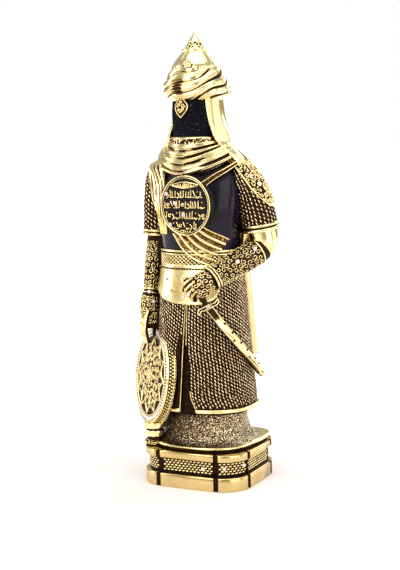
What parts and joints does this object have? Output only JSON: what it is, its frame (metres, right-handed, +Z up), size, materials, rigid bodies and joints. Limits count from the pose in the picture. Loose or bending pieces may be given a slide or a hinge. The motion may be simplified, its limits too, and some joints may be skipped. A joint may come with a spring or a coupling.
{
  "type": "armored soldier figurine",
  "caption": "Standing gilt figurine of a veiled armoured soldier with turban helmet, mail coat, sheathed sword, round shield and cape, on a two-tier plinth set with small glass stones.",
  "frame": {"origin": "middle of the plinth's underside", "axes": "+Z up through the figure, -Y the way it faces, +X its left, the sword's side"},
  "size_m": [0.1113, 0.0765, 0.3],
  "materials": {
    "gilt_casting": "polished gold plating with dark patina in the hollows and glossy blue-black enamel on the cuirass and veil",
    "gilt_plinth": "polished gold plating, dark patina in the frieze and notches",
    "glass_stone": "faceted, foil-backed"
  },
  "bodies": {
    "root": {"figure": "gilt_casting", "plinth": "gilt_plinth", "stone_disc_1": "glass_stone", "stone_disc_2": "glass_stone", "stone_disc_3": "glass_stone", "stone_disc_4": "glass_stone", "stone_apron_1": "glass_stone", "stone_apron_2": "glass_stone", "stone_apron_3": "glass_stone", "stone_left_hand_1": "glass_stone", "stone_left_hand_2": "glass_stone", "stone_guard": "glass_stone", "stone_vambrace_1": "glass_stone", "stone_vambrace_2": "glass_stone", "stone_pauldron_1": "glass_stone", "stone_pauldron_2": "glass_stone", "stone_right_hand_1": "glass_stone", "stone_right_hand_2": "glass_stone", "stone_frieze_1": "glass_stone", "stone_frieze_2": "glass_stone", "stone_frieze_3": "glass_stone"}
  },
  "joints": []
}
